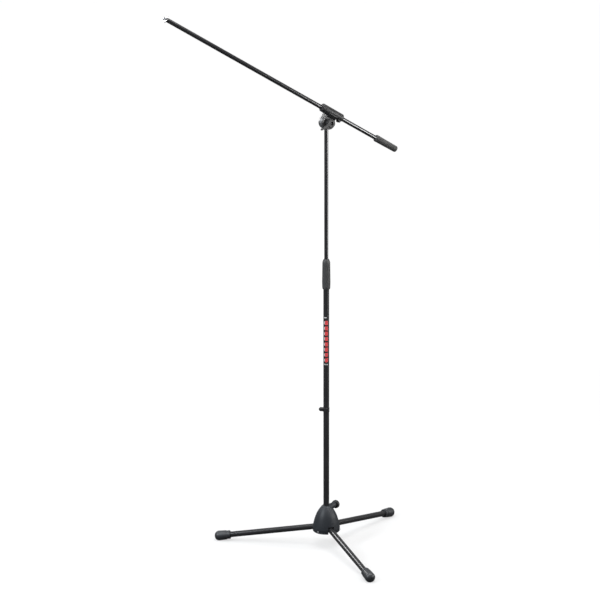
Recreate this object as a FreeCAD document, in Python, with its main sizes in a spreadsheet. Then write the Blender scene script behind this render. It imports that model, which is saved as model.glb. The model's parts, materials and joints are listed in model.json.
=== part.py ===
import FreeCAD, Part
import math
import os
import Sketcher
from FreeCAD import Placement, Rotation, Vector

# Boom microphone stand on a folding tripod: a bell-shaped hub clamped on the lower tube by a
# knob, three legs that fold down, a twist clutch, a telescopic upper tube and a boom held in
# a tilting split clamp. Millimetres, +Z up, floor at Z = 0, origin under the middle of the
# whole stand's outline. The column stands at (column_x, column_y).

# the least volume, in cubic millimetres, that a pocket has to remove
LEAST_CUT = 0.01

SIZES = [
    # fits
    ("edge", 0.5),
    ("running", 0.05),
    ("snug", 0.02),
    ("gap", 0.3),
    # where the column stands
    ("column_x", 104.0),
    ("column_y", 73.0),
    # lower tube
    ("tube_r", 9.5),
    ("tube_wall", 1.2),
    ("tube_foot_z", 46.0),
    ("tube_head_z", 952.0),
    ("tube_plug_flange", 3.0),
    ("tube_plug_depth", 14.0),
    # hub bell
    ("hub_top_z", 136.6),
    ("hub_lip_r", 13.0),
    ("shoulder_r", 38.6),
    ("shoulder_z", 91.0),
    ("upper_bow", 106.0),
    ("lower_bow", 218.0),
    ("rim_r", 45.0),
    ("band_top_z", 62.0),
    ("band_step", 0.8),
    ("rim_round", 1.8),
    ("hub_foot_z", 49.4),
    ("recess_r", 40.2),
    ("slot_w", 20.4),
    ("slot_inner_r", 18.5),
    ("slot_top_z", 73.6),
    ("core_inner_r", 20.6),
    ("core_mid_r", 28.0),
    ("core_half_w", 13.0),
    ("core_side_r", 31.5),
    ("core_outer_r", 34.0),
    ("core_nose_half_w", 6.0),
    ("core_depth", 27.0),
    ("boss_z", 126.5),
    ("boss_r", 10.0),
    ("boss_start", 12.0),
    ("boss_end", 41.0),
    # base spider under the bell
    ("spider_r", 40.0),
    ("spider_foot_z", 51.4),
    ("spider_hole_r", 10.5),
    ("spider_slot_r", 19.8),
    ("rim_screw_z", 55.5),
    ("rim_screw_r", 1.5),
    ("rim_screw_inner", 33.0),
    ("rim_screw_head_r", 3.2),
    ("rim_screw_head_h", 2.2),
    ("rim_screw_slot_w", 0.9),
    # legs
    ("leg_count", 3),
    ("leg_heading", 24.3),
    ("leg_slope", 8.5),
    ("pivot_r", 30.0),
    ("pivot_z", 63.4),
    ("pin_r", 2.5),
    ("pin_length", 45.0),
    ("leg_r", 9.5),
    ("leg_wall", 1.2),
    ("leg_start", 8.0),
    ("leg_end", 340.0),
    ("knuckle_plug_end", 32.0),
    # rubber feet
    ("foot_start", 295.0),
    ("foot_lip_r", 14.1),
    ("foot_lip_end", 303.5),
    ("foot_neck_r", 13.4),
    ("foot_shoulder", 306.5),
    ("foot_inner_r", 15.2),
    ("foot_outer_r", 16.4),
    ("foot_belly", 333.5),
    ("foot_end_r", 5.0),
    ("foot_end", 347.0),
    ("foot_round", 14.5),
    # hub knob, stud and pressure pad
    ("knob_start", 42.0),
    ("knob_neck_r", 8.0),
    ("knob_neck_end", 44.0),
    ("knob_r", 13.5),
    ("knob_body_start", 46.6),
    ("knob_body_end", 54.6),
    ("knob_face", 59.0),
    ("knob_face_r", 7.0),
    ("knob_dome", 10.0),
    ("knob_flutes", 8),
    ("knob_flute_r", 3.2),
    ("knob_flute_at", 15.4),
    ("stud_r", 4.0),
    ("stud_start", 12.3),
    ("stud_end", 53.0),
    ("pad_start", 9.85),
    ("pad_r", 3.8),
    # cable clip
    ("clip_z", 462.6),
    ("clip_heading", 152.0),
    ("clip_ring_r", 11.3),
    ("clip_ring_h", 13.0),
    ("clip_mouth", 9.0),
    ("peg_rise", 4.0),
    ("peg_r", 6.8),
    ("peg_reach", 24.4),
    ("peg_round", 7.0),
    # twist clutch
    ("ferrule_r", 10.5),
    ("ferrule_foot_z", 905.0),
    ("ferrule_head_z", 944.5),
    ("collet_r", 8.22),
    ("collet_bore_r", 6.58),
    ("collet_foot_z", 916.0),
    ("collet_flange_r", 9.4),
    ("collet_flange_h", 2.8),
    ("collet_slit_w", 1.5),
    ("grip_foot_z", 863.0),
    ("grip_foot_r", 11.9),
    ("grip_skirt_z", 867.0),
    ("grip_skirt_r", 13.0),
    ("grip_belly_z", 885.0),
    ("grip_belly_r", 13.5),
    ("grip_neck_z", 944.0),
    ("grip_neck_r", 12.6),
    ("grip_crown_z", 960.0),
    ("grip_crown_r", 8.3),
    ("grip_crown_bow", 26.0),
    ("grip_bore_r", 9.85),
    ("grip_step_z", 901.0),
    ("grip_thread_r", 10.8),
    ("grip_cone_r", 9.75),
    ("grip_ceiling_z", 955.4),
    ("grip_lip_r", 6.85),
    ("grip_flutes", 10),
    ("grip_flute_r", 4.2),
    ("grip_flute_at", 16.65),
    ("grip_flute_start", 866.0),
    ("grip_flute_length", 83.0),
    # upper tube and its guide
    ("upper_r", 6.5),
    ("upper_wall", 1.0),
    ("upper_foot_z", 550.0),
    ("guide_r", 8.22),
    ("guide_h", 42.0),
    ("upper_plug_r", 7.5),
    ("upper_plug_flange", 3.8),
    ("upper_plug_depth", 10.0),
    # swivel
    ("hinge_z", 1396.0),
    ("swivel_r", 20.3),
    ("swivel_near", -8.5),
    ("swivel_far", 8.0),
    ("tube_seat", 6.0),
    ("backplate_r", 20.2),
    ("backplate_far", 15.4),
    ("backplate_top", 26.0),
    ("backplate_boss_r", 14.0),
    ("backplate_boss_h", 1.4),
    ("disc_r", 20.6),
    ("disc_near", -10.0),
    ("bolt_r", 4.0),
    ("bolt_head_r", 8.0),
    ("bolt_head_rim", 1.0),
    ("bolt_crown", 2.6),
    ("bolt_end", -32.0),
    # tilting clamp
    ("boom_tilt", 28.9),
    ("boom_y", -16.5),
    ("boom_rise", 31.75),
    ("cheek_far", -10.3),
    ("cheek_near", -20.0),
    ("cheek_r", 20.4),
    ("cheek_top", 29.5),
    ("cheek_shoulder", 45.0),
    ("saddle_r", 21.3),
    ("saddle_front", 20.0),
    ("saddle_rear", 50.0),
    ("saddle_top", 26.4),
    ("web_front", -17.0),
    ("web_length", 30.0),
    ("web_foot", 13.8),
    ("web_near", -28.6),
    ("web_shoulder", 25.5),
    ("nose_near", -27.0),
    ("nose_r", 10.5),
    ("nose_root_r", 12.5),
    ("slit_w", 1.6),
    ("sleeve_front", -47.5),
    ("sleeve_rear", 35.0),
    ("sleeve_offset", 1.0),
    ("sleeve_front_r", 13.3),
    ("sleeve_rear_r", 12.9),
    ("sleeve_end_r", 10.8),
    ("sleeve_end_round", 3.4),
    ("sleeve_end_bow", 5.1),
    ("sleeve_ring_w", 11.0),
    ("sleeve_groove_w", 1.6),
    ("sleeve_groove", 0.7),
    ("lug_x", 27.0),
    ("lug_z", 19.8),
    ("lug_r", 4.2),
    ("lug_near", -25.4),
    ("lug_screw_r", 1.5),
    ("lug_head_r", 3.0),
    ("lug_head_h", 2.4),
    # lever on the swivel bolt
    ("lever_far", -27.4),
    ("lever_near", -36.0),
    ("lever_ring_r", 13.0),
    ("lever_well_r", 6.0),
    ("lever_well_depth", 4.5),
    ("lever_heading", 26.5),
    ("lever_arm_far", -30.6),
    ("lever_arm_near", -35.4),
    ("lever_root_half", 5.2),
    ("lever_tip_half", 2.8),
    ("lever_tip_bow", 2.94),
    ("lever_length", 38.5),
    # boom
    ("boom_r", 6.75),
    ("boom_wall", 1.0),
    ("boom_tip", -635.5),
    ("boom_tail", 256.5),
    ("liner_r", 8.3),
    ("liner_flange_r", 9.6),
    ("liner_flange_h", 1.5),
    ("liner_slit_w", 1.2),
    ("handle_start", 173.5),
    ("handle_front_r", 11.3),
    ("handle_rear_r", 10.2),
    ("handle_round", 4.0),
    ("handle_end", 261.0),
    # microphone thread, 3/8 inch
    ("thread_r", 4.7625),
    ("thread_neck_r", 4.4),
    ("thread_end", -648.5),
    ("insert_depth", 14.0),
    ("insert_collar", 2.0),
    ("lock_ring_r", 10.8),
    ("lock_ring_start", -637.9),
    ("lock_ring_h", 3.2),
    ("lock_ring_notches", 12),
    ("lock_ring_notch_r", 1.6),
]

doc = FreeCAD.newDocument("BoomMicrophoneStand")
sheet = doc.addObject("Spreadsheet::Sheet", "Sizes")


class Size:
    """A number together with the spreadsheet expression that gives it."""

    def __init__(self, value, text=None):
        self.value = float(value)
        self.text = text or repr(float(value))

    def join(self, other, sign, value):
        return Size(value, f"({self.text} {sign} {other.text})")

    def __add__(self, other):
        other = as_size(other)
        return self.join(other, "+", self.value + other.value)

    def __radd__(self, other):
        return as_size(other) + self

    def __sub__(self, other):
        other = as_size(other)
        return self.join(other, "-", self.value - other.value)

    def __rsub__(self, other):
        return as_size(other) - self

    def __mul__(self, other):
        other = as_size(other)
        return self.join(other, "*", self.value * other.value)

    def __rmul__(self, other):
        return as_size(other) * self

    def __truediv__(self, other):
        other = as_size(other)
        return self.join(other, "/", self.value / other.value)

    def __neg__(self):
        return as_size(0) - self


def as_size(item):
    return item if isinstance(item, Size) else Size(item)


def sine(angle):
    return Size(math.sin(math.radians(angle.value)), f"sin({angle.text})")


def cosine(angle):
    return Size(math.cos(math.radians(angle.value)), f"cos({angle.text})")


class Sizes:
    """Every size in the sheet, by its name."""


s = Sizes()
for row, (name, value) in enumerate(SIZES, start=1):
    sheet.set(f"A{row}", name)
    sheet.set(f"B{row}", str(value))
    sheet.setAlias(f"B{row}", name)
    setattr(s, name, Size(value, f"Sizes.{name}"))
doc.recompute()

BODIES = []


def bind(item, path, size):
    """Ties one property to the sheet."""
    if "Sizes." in size.text:
        item.setExpression(path, size.text)


def new_body(label):
    body = doc.addObject("PartDesign::Body", label)
    body.Label = label
    body.AllowCompound = True
    BODIES.append(body)
    return body


def origin_item(body, role):
    return [item for item in body.Origin.OriginFeatures if item.Role == role][0]


def sketch_on(body, name, plane, shift, turn):
    sketch = body.newObject("Sketcher::SketchObject", name)
    sketch.AttachmentSupport = [(origin_item(body, plane), "")]
    sketch.MapMode = "FlatFace"
    across, up, out = [as_size(item) for item in shift]
    angle = as_size(turn)
    sketch.AttachmentOffset = Placement(
        Vector(across.value, up.value, out.value),
        Rotation(Vector(0, 0, 1), angle.value),
    )
    bind(sketch, "AttachmentOffset.Base.x", across)
    bind(sketch, "AttachmentOffset.Base.y", up)
    bind(sketch, "AttachmentOffset.Base.z", out)
    bind(sketch, "AttachmentOffset.Rotation.Angle", angle)
    return sketch


def fix(sketch, kind, place, value, size):
    """Adds one driven dimension, or holds the point on the axis when it is zero."""
    if kind == "DistanceX" and abs(value) < 1e-9:
        sketch.addConstraint(Sketcher.Constraint("PointOnObject", *place, -2))
        return
    if kind == "DistanceY" and abs(value) < 1e-9:
        sketch.addConstraint(Sketcher.Constraint("PointOnObject", *place, -1))
        return
    index = sketch.addConstraint(Sketcher.Constraint(kind, -1, 1, *place, value))
    bind(sketch, f"Constraints[{index}]", size)


def arc_between(start, end, bow):
    """An arc from start to end. A positive bow bends it clockwise, a negative one the other way."""
    span = end - start
    half = span.Length / 2
    side = Vector(span.y, -span.x, 0).normalize()
    if bow < 0:
        side = -side
    centre = start + span * 0.5 + side * math.sqrt(bow * bow - half * half)
    first, last = (end, start) if bow > 0 else (start, end)
    angle_first = math.atan2(first.y - centre.y, first.x - centre.x)
    angle_last = math.atan2(last.y - centre.y, last.x - centre.x)
    circle = Part.Circle(centre, Vector(0, 0, 1), abs(bow))
    return Part.ArcOfCircle(circle, angle_first, angle_last)


def outline(body, name, points, plane="XZ_Plane", shift=(0, 0, 0), turn=0):
    """A closed sketch through (across, up) points. A third number is the radius of the arc
    that leads to the point."""
    sketch = sketch_on(body, name, plane, shift, turn)
    corners = [(as_size(point[0]), as_size(point[1])) for point in points]
    spots = [Vector(across.value, up.value, 0) for across, up in corners]
    ends = []
    for index, point in enumerate(points):
        start = spots[index - 1]
        end = spots[index]
        if len(point) == 3:
            bow = as_size(point[2])
            line = sketch.addGeometry(arc_between(start, end, bow.value))
            ends.append((line, 2, 1) if bow.value > 0 else (line, 1, 2))
            size = bow if bow.value > 0 else -bow
            held = sketch.addConstraint(Sketcher.Constraint("Radius", line, abs(bow.value)))
            bind(sketch, f"Constraints[{held}]", size)
        else:
            line = sketch.addGeometry(Part.LineSegment(start, end))
            ends.append((line, 1, 2))
    for index, (line, first, last) in enumerate(ends):
        following = ends[(index + 1) % len(ends)]
        sketch.addConstraint(
            Sketcher.Constraint("Coincident", line, last, following[0], following[1])
        )
        across, up = corners[index]
        fix(sketch, "DistanceX", (line, last), across.value, across)
        fix(sketch, "DistanceY", (line, last), up.value, up)
    return sketch


def circle(body, name, across, up, radius, plane="XZ_Plane", shift=(0, 0, 0)):
    sketch = sketch_on(body, name, plane, shift, 0)
    across, up, radius = as_size(across), as_size(up), as_size(radius)
    ring = Part.Circle(Vector(across.value, up.value, 0), Vector(0, 0, 1), radius.value)
    line = sketch.addGeometry(ring)
    held = sketch.addConstraint(Sketcher.Constraint("Radius", line, radius.value))
    bind(sketch, f"Constraints[{held}]", radius)
    fix(sketch, "DistanceX", (line, 3), across.value, across)
    fix(sketch, "DistanceY", (line, 3), up.value, up)
    return sketch


def revolve(body, name, sketch, axis):
    turn = body.newObject("PartDesign::Revolution", name)
    turn.Profile = sketch
    turn.ReferenceAxis = (sketch, [axis])
    turn.Angle = 360
    body.Tip = turn
    return turn


def turned(label, points, axis="V_Axis", plane="XZ_Plane"):
    """A body of revolution about one of its sketch's axes."""
    body = new_body(label)
    revolve(body, label + "_turn", outline(body, label + "_profile", points, plane), axis)
    return body


def pad(body, name, sketch, length, both_ways=False):
    length = as_size(length)
    block = body.newObject("PartDesign::Pad", name)
    block.Profile = sketch
    block.Length = length.value
    bind(block, "Length", length)
    block.SideType = "Symmetric" if both_ways else "One side"
    body.Tip = block
    return block


def cut(body, name, sketch, length, both_ways=False, ahead=False):
    """A pocket, measured so that one cut towards empty space is caught."""
    doc.recompute()
    before = body.Shape.Volume
    length = as_size(length)
    pocket = body.newObject("PartDesign::Pocket", name)
    pocket.Profile = sketch
    pocket.Length = length.value
    bind(pocket, "Length", length)
    pocket.SideType = "Symmetric" if both_ways else "One side"
    pocket.Reversed = ahead
    body.Tip = pocket
    doc.recompute()
    if body.Shape.Volume > before - LEAST_CUT:
        raise ValueError(f"{name} removes nothing")
    return pocket


def around(body, name, features, count, axis="Z_Axis"):
    """Repeats features evenly about one of the body's own axes."""
    pattern = body.newObject("PartDesign::PolarPattern", name)
    pattern.Originals = features
    pattern.Axis = (origin_item(body, axis), [""])
    pattern.Angle = 360
    pattern.Occurrences = int(count.value)
    body.Tip = pattern
    bind(pattern, "Occurrences", count)
    return pattern


def rectangle(across_from, across_to, up_from, up_to):
    return [
        (across_from, up_from),
        (across_to, up_from),
        (across_to, up_to),
        (across_from, up_to),
    ]


def place(body, x, y, z, yaw=0, pitch=0):
    """Stands the body in the stand's frame: pitch about Y first, then yaw about Z."""
    x, y, z, yaw, pitch = [as_size(item) for item in (x, y, z, yaw, pitch)]
    where = f"create(<<vector>>; {x.text}; {y.text}; {z.text})"
    turn = f"create(<<rotation>>; {yaw.text}; {pitch.text}; 0)"
    body.setExpression("Placement", f"create(<<placement>>; {where}; {turn})")


def on_column(body, z=0, yaw=0):
    place(body, s.column_x, s.column_y, z, yaw)


# ---------------------------------------------------------------- hub
BEYOND = s.rim_r * 2
spider_top_z = s.pivot_z - s.pin_r
band_r = s.rim_r - s.band_step

hub_bell = turned(
    "hub_bell",
    [
        (s.tube_r + s.running, spider_top_z),
        (s.tube_r + s.running, s.hub_top_z),
        (s.hub_lip_r, s.hub_top_z),
        (s.shoulder_r, s.shoulder_z, s.upper_bow),
        (s.rim_r, s.band_top_z, s.lower_bow),
        (s.rim_r, s.band_top_z - s.band_step),
        (band_r, s.band_top_z - s.band_step * 2),
        (band_r, s.hub_foot_z + s.rim_round),
        (band_r - s.rim_round, s.hub_foot_z),
        (s.recess_r, s.hub_foot_z),
        (s.recess_r, spider_top_z),
    ],
)
boss = circle(hub_bell, "boss_ring", 0, s.boss_z, s.boss_r, "YZ_Plane", (0, 0, s.boss_start))
pad(hub_bell, "screw_boss", boss, s.boss_end - s.boss_start)
stud_ring = circle(hub_bell, "stud_ring", 0, s.boss_z, s.stud_r + s.running, "YZ_Plane")
cut(hub_bell, "stud_hole", stud_ring, s.boss_end + s.edge, ahead=True)
slot = outline(
    hub_bell,
    "leg_slot_shape",
    rectangle(s.slot_inner_r, BEYOND, 0, s.slot_top_z),
)
leg_slot = cut(hub_bell, "leg_slot", slot, s.slot_w, both_ways=True)
around(hub_bell, "leg_slots", [leg_slot], s.leg_count)
notch_r = s.pin_r + s.running
notch = outline(
    hub_bell,
    "pin_notch_shape",
    [
        (s.pivot_r - notch_r, s.hub_foot_z),
        (s.pivot_r + notch_r, s.hub_foot_z),
        (s.pivot_r + notch_r, s.pivot_z),
        (s.pivot_r, s.pivot_z + notch_r, -notch_r),
        (s.pivot_r - notch_r, s.pivot_z, -notch_r),
    ],
)
pin_notch = cut(hub_bell, "pin_notch", notch, s.pin_length + 1, both_ways=True)
around(hub_bell, "pin_notches", [pin_notch], s.leg_count)
core = outline(
    hub_bell,
    "core_shape",
    [
        (-s.core_inner_r, 0),
        (-s.core_mid_r, s.core_half_w),
        (-s.core_side_r, s.core_half_w),
        (-s.core_outer_r, s.core_nose_half_w),
        (-s.core_outer_r, -s.core_nose_half_w),
        (-s.core_side_r, -s.core_half_w),
        (-s.core_mid_r, -s.core_half_w),
    ],
    "XY_Plane",
    (0, 0, spider_top_z),
)
core_cut = cut(hub_bell, "core", core, s.core_depth, ahead=True)
around(hub_bell, "cores", [core_cut], s.leg_count)
screw_ring = circle(
    hub_bell, "rim_hole_ring", 0, s.rim_screw_z, s.rim_screw_r + s.running, "YZ_Plane"
)
rim_hole = cut(hub_bell, "rim_hole", screw_ring, BEYOND)
around(hub_bell, "rim_holes", [rim_hole], s.leg_count)
on_column(hub_bell, 0, s.leg_heading)

hub_spider = new_body("hub_base_spider")
disc = circle(hub_spider, "spider_ring", 0, 0, s.spider_r, "XY_Plane", (0, 0, s.spider_foot_z))
pad(hub_spider, "spider_plate", disc, spider_top_z - s.spider_foot_z)
eye = circle(hub_spider, "spider_eye", 0, 0, s.spider_hole_r, "XY_Plane")
cut(hub_spider, "spider_hole", eye, s.hub_top_z, both_ways=True)
gate = outline(
    hub_spider,
    "spider_slot_shape",
    rectangle(s.spider_slot_r, BEYOND, 0, s.slot_top_z),
)
gate_cut = cut(hub_spider, "spider_slot", gate, s.slot_w, both_ways=True)
around(hub_spider, "spider_slots", [gate_cut], s.leg_count)
pilot = circle(
    hub_spider,
    "pilot_ring",
    0,
    s.rim_screw_z,
    s.rim_screw_r + s.running,
    "YZ_Plane",
    (0, 0, -s.rim_screw_inner),
)
pilot_cut = cut(hub_spider, "pilot", pilot, s.rim_screw_inner)
around(hub_spider, "pilots", [pilot_cut], s.leg_count)
on_column(hub_spider, 0, s.leg_heading)

head_seat = band_r + s.snug
head_face = head_seat + s.rim_screw_head_h
rim_screws = new_body("hub_rim_screws")
screw = outline(
    rim_screws,
    "rim_screw_shape",
    [
        (-s.rim_screw_inner - s.edge, 0),
        (-s.rim_screw_inner - s.edge, s.rim_screw_r),
        (-head_seat, s.rim_screw_r),
        (-head_seat, s.rim_screw_head_r),
        (-head_face + s.edge * 2, s.rim_screw_head_r),
        (-head_face, s.rim_screw_head_r - s.edge * 2),
        (-head_face, 0),
    ],
    "XZ_Plane",
    (0, s.rim_screw_z, 0),
)
screw_turn = revolve(rim_screws, "rim_screw", screw, "H_Axis")
nick = outline(
    rim_screws,
    "rim_screw_slot_shape",
    rectangle(
        -s.rim_screw_head_r,
        s.rim_screw_head_r,
        -s.rim_screw_slot_w / 2,
        s.rim_screw_slot_w / 2,
    ),
    "YZ_Plane",
    (0, s.rim_screw_z, -head_face + s.edge * 2),
)
nick_cut = cut(rim_screws, "rim_screw_slot", nick, s.rim_screw_head_h)
around(rim_screws, "rim_screw_set", [screw_turn, nick_cut], s.leg_count)
on_column(rim_screws, 0, s.leg_heading)

leg_pins = new_body("leg_pivot_pins")
pin = circle(leg_pins, "pin_ring", s.pivot_r, s.pivot_z, s.pin_r)
pin_bar = pad(leg_pins, "pin_bar", pin, s.pin_length, both_ways=True)
around(leg_pins, "pin_set", [pin_bar], s.leg_count)
on_column(leg_pins, 0, s.leg_heading)

# ---------------------------------------------------------------- knob on the hub
knob_bore_r = s.stud_r + s.snug
knob = turned(
    "hub_knob",
    [
        (s.knob_start, knob_bore_r),
        (s.knob_start, s.knob_neck_r),
        (s.knob_neck_end, s.knob_neck_r),
        (s.knob_body_start, s.knob_r),
        (s.knob_body_end, s.knob_r),
        (s.knob_face, s.knob_face_r, s.knob_dome),
        (s.knob_face, 0),
        (s.stud_end + s.gap, 0),
        (s.stud_end + s.gap, knob_bore_r),
    ],
    "H_Axis",
)
flute = circle(knob, "knob_flute_ring", s.knob_flute_at, 0, s.knob_flute_r, "YZ_Plane")
flute_cut = cut(knob, "knob_flute", flute, s.knob_face, ahead=True)
around(knob, "knob_flute_set", [flute_cut], s.knob_flutes, "X_Axis")
on_column(knob, s.boss_z, s.leg_heading)

knob_stud = turned(
    "hub_knob_stud",
    [
        (s.stud_start, 0),
        (s.stud_start, s.stud_r - s.edge),
        (s.stud_start + s.edge, s.stud_r),
        (s.stud_end, s.stud_r),
        (s.stud_end, 0),
    ],
    "H_Axis",
)
on_column(knob_stud, s.boss_z, s.leg_heading)

pressure_pad = turned(
    "hub_pressure_pad",
    [
        (s.pad_start, 0),
        (s.pad_start, s.pad_r - s.edge),
        (s.pad_start + s.edge, s.pad_r),
        (s.stud_start - s.snug, s.pad_r),
        (s.stud_start - s.snug, 0),
    ],
    "H_Axis",
)
on_column(pressure_pad, s.boss_z, s.leg_heading)

# ---------------------------------------------------------------- legs
leg_inner_r = s.leg_r - s.leg_wall


def floor_line(along):
    """Where the floor lies, in a leg's own frame, at a distance along the leg."""
    return (along * sine(s.leg_slope) - s.pivot_z) / cosine(s.leg_slope)


for number in range(1, int(s.leg_count.value) + 1):
    yaw = s.leg_heading + as_size(360) / s.leg_count * (number - 1)
    pivot_x = s.column_x + s.pivot_r * cosine(yaw)
    pivot_y = s.column_y + s.pivot_r * sine(yaw)

    knuckle = turned(
        f"leg_knuckle_{number}",
        [
            (-s.leg_r, 0),
            (0, s.leg_r, s.leg_r),
            (s.leg_start, s.leg_r),
            (s.leg_start, leg_inner_r - s.snug),
            (s.knuckle_plug_end - s.edge, leg_inner_r - s.snug),
            (s.knuckle_plug_end, leg_inner_r - s.edge),
            (s.knuckle_plug_end, 0),
        ],
        "H_Axis",
    )
    eyelet = circle(knuckle, f"knuckle_eye_{number}", 0, 0, s.pin_r + s.running)
    cut(knuckle, f"knuckle_hole_{number}", eyelet, s.pin_length, both_ways=True)

    leg = turned(
        f"leg_tube_{number}",
        [
            (s.leg_start + s.snug, leg_inner_r),
            (s.leg_start + s.snug, s.leg_r),
            (s.leg_end, s.leg_r),
            (s.leg_end, leg_inner_r),
        ],
        "H_Axis",
    )

    foot = turned(
        f"leg_foot_{number}",
        [
            (s.foot_start, s.leg_r + s.snug),
            (s.foot_start, s.foot_lip_r - s.edge),
            (s.foot_start + s.edge, s.foot_lip_r),
            (s.foot_lip_end - s.edge, s.foot_lip_r),
            (s.foot_lip_end, s.foot_neck_r),
            (s.foot_shoulder - s.edge, s.foot_neck_r),
            (s.foot_shoulder + s.edge, s.foot_inner_r),
            (s.foot_belly, s.foot_outer_r),
            (s.foot_end, s.foot_end_r, s.foot_round),
            (s.foot_end, 0),
            (s.leg_end + s.snug, 0),
            (s.leg_end + s.snug, s.leg_r + s.snug),
        ],
        "H_Axis",
    )
    under = -s.foot_end_r * 6
    sole = outline(
        foot,
        f"sole_shape_{number}",
        [
            (s.foot_start, floor_line(s.foot_start)),
            (s.foot_start, under),
            (s.foot_end + s.foot_end_r, under),
            (s.foot_end + s.foot_end_r, floor_line(s.foot_end + s.foot_end_r)),
        ],
    )
    cut(foot, f"sole_{number}", sole, s.foot_outer_r * 3, both_ways=True)

    for body in (knuckle, leg, foot):
        place(body, pivot_x, pivot_y, s.pivot_z, yaw, s.leg_slope)

# ---------------------------------------------------------------- lower tube
tube_inner_r = s.tube_r - s.tube_wall
lower_tube = turned(
    "lower_tube",
    [
        (tube_inner_r, s.tube_foot_z),
        (s.tube_r, s.tube_foot_z),
        (s.tube_r, s.tube_head_z),
        (tube_inner_r, s.tube_head_z),
    ],
)
on_column(lower_tube)

plug_foot_z = s.tube_foot_z - s.tube_plug_flange
tube_plug = turned(
    "lower_tube_plug",
    [
        (0, plug_foot_z),
        (s.tube_r - s.edge * 2, plug_foot_z),
        (s.tube_r - s.edge, plug_foot_z + s.edge),
        (s.tube_r - s.edge, s.tube_foot_z - s.snug),
        (tube_inner_r - s.snug, s.tube_foot_z - s.snug),
        (tube_inner_r - s.snug, s.tube_foot_z + s.tube_plug_depth),
        (0, s.tube_foot_z + s.tube_plug_depth),
    ],
)
on_column(tube_plug)

clip = new_body("cable_clip")
clip_ring = outline(
    clip,
    "clip_ring_shape",
    [
        (0, -s.clip_ring_h / 2),
        (s.clip_ring_r - s.edge, -s.clip_ring_h / 2),
        (s.clip_ring_r, -s.clip_ring_h / 2 + s.edge),
        (s.clip_ring_r, s.clip_ring_h / 2 - s.edge),
        (s.clip_ring_r - s.edge, s.clip_ring_h / 2),
        (0, s.clip_ring_h / 2),
    ],
)
revolve(clip, "clip_ring", clip_ring, "V_Axis")
peg = outline(
    clip,
    "peg_shape",
    [
        (0, 0),
        (0, s.peg_r - s.edge),
        (s.peg_reach - s.peg_r, s.peg_r),
        (s.peg_reach, 0, s.peg_round),
    ],
    turn=s.peg_rise,
)
revolve(clip, "peg", peg, "H_Axis")
clip_bore = circle(clip, "clip_bore_ring", 0, 0, s.tube_r + s.snug, "XY_Plane")
cut(clip, "clip_bore", clip_bore, s.clip_ring_h * 4, both_ways=True)
mouth = outline(
    clip,
    "clip_mouth_shape",
    rectangle(-s.clip_ring_r * 2, 0, -s.clip_ring_h, s.clip_ring_h),
)
cut(clip, "clip_mouth", mouth, s.clip_mouth, both_ways=True)
on_column(clip, s.clip_z, s.clip_heading)

# ---------------------------------------------------------------- twist clutch
ferrule = turned(
    "clutch_ferrule",
    [
        (s.tube_r + s.snug, s.ferrule_foot_z),
        (s.ferrule_r, s.ferrule_foot_z),
        (s.ferrule_r, s.ferrule_head_z),
        (s.tube_r + s.snug, s.ferrule_head_z),
    ],
)
on_column(ferrule)

flange_z = s.tube_head_z + s.snug * 5
collet = turned(
    "clutch_collet",
    [
        (s.collet_bore_r, s.collet_foot_z),
        (s.collet_r, s.collet_foot_z),
        (s.collet_r, flange_z),
        (s.collet_flange_r, flange_z),
        (s.collet_flange_r, flange_z + s.collet_flange_h - s.edge),
        (s.collet_flange_r - s.edge, flange_z + s.collet_flange_h),
        (s.collet_bore_r, flange_z + s.collet_flange_h),
    ],
)
collet_slit = outline(
    collet,
    "collet_slit_shape",
    rectangle(0, s.collet_flange_r * 2, s.collet_foot_z - 1, s.grip_crown_z),
)
cut(collet, "collet_slit", collet_slit, s.collet_slit_w, both_ways=True)
on_column(collet)

grip = turned(
    "clutch_grip",
    [
        (s.grip_bore_r, s.grip_foot_z),
        (s.grip_foot_r, s.grip_foot_z),
        (s.grip_skirt_r, s.grip_skirt_z),
        (s.grip_belly_r, s.grip_belly_z),
        (s.grip_neck_r, s.grip_neck_z),
        (s.grip_crown_r, s.grip_crown_z, -s.grip_crown_bow),
        (s.grip_lip_r, s.grip_crown_z),
        (s.grip_lip_r, s.grip_ceiling_z),
        (s.grip_cone_r, s.grip_ceiling_z),
        (s.grip_thread_r, s.grip_neck_z),
        (s.grip_thread_r, s.grip_step_z),
        (s.grip_bore_r, s.grip_step_z),
    ],
)
grip_flute = circle(
    grip,
    "grip_flute_ring",
    s.grip_flute_at,
    0,
    s.grip_flute_r,
    "XY_Plane",
    (0, 0, s.grip_flute_start),
)
grip_flute_cut = cut(grip, "grip_flute", grip_flute, s.grip_flute_length, ahead=True)
around(grip, "grip_flute_set", [grip_flute_cut], s.grip_flutes)
on_column(grip)

# ---------------------------------------------------------------- upper tube
upper_head_z = s.hinge_z - s.tube_seat - s.gap
upper_inner_r = s.upper_r - s.upper_wall
upper_tube = turned(
    "upper_tube",
    [
        (upper_inner_r, s.upper_foot_z),
        (s.upper_r, s.upper_foot_z),
        (s.upper_r, upper_head_z),
        (upper_inner_r, upper_head_z),
    ],
)
on_column(upper_tube)

guide_foot_z = s.upper_foot_z + s.gap
guide = turned(
    "upper_tube_guide",
    [
        (s.upper_r + s.running, guide_foot_z),
        (s.guide_r, guide_foot_z),
        (s.guide_r, guide_foot_z + s.guide_h),
        (s.upper_r + s.running, guide_foot_z + s.guide_h),
    ],
)
on_column(guide)

upper_plug = turned(
    "upper_tube_plug",
    [
        (0, s.upper_foot_z - s.upper_plug_flange),
        (s.upper_plug_r - s.edge, s.upper_foot_z - s.upper_plug_flange),
        (s.upper_plug_r, s.upper_foot_z - s.upper_plug_flange + s.edge),
        (s.upper_plug_r, s.upper_foot_z - s.snug),
        (upper_inner_r - s.snug, s.upper_foot_z - s.snug),
        (upper_inner_r - s.snug, s.upper_foot_z + s.upper_plug_depth),
        (0, s.upper_foot_z + s.upper_plug_depth),
    ],
)
on_column(upper_plug)

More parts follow.
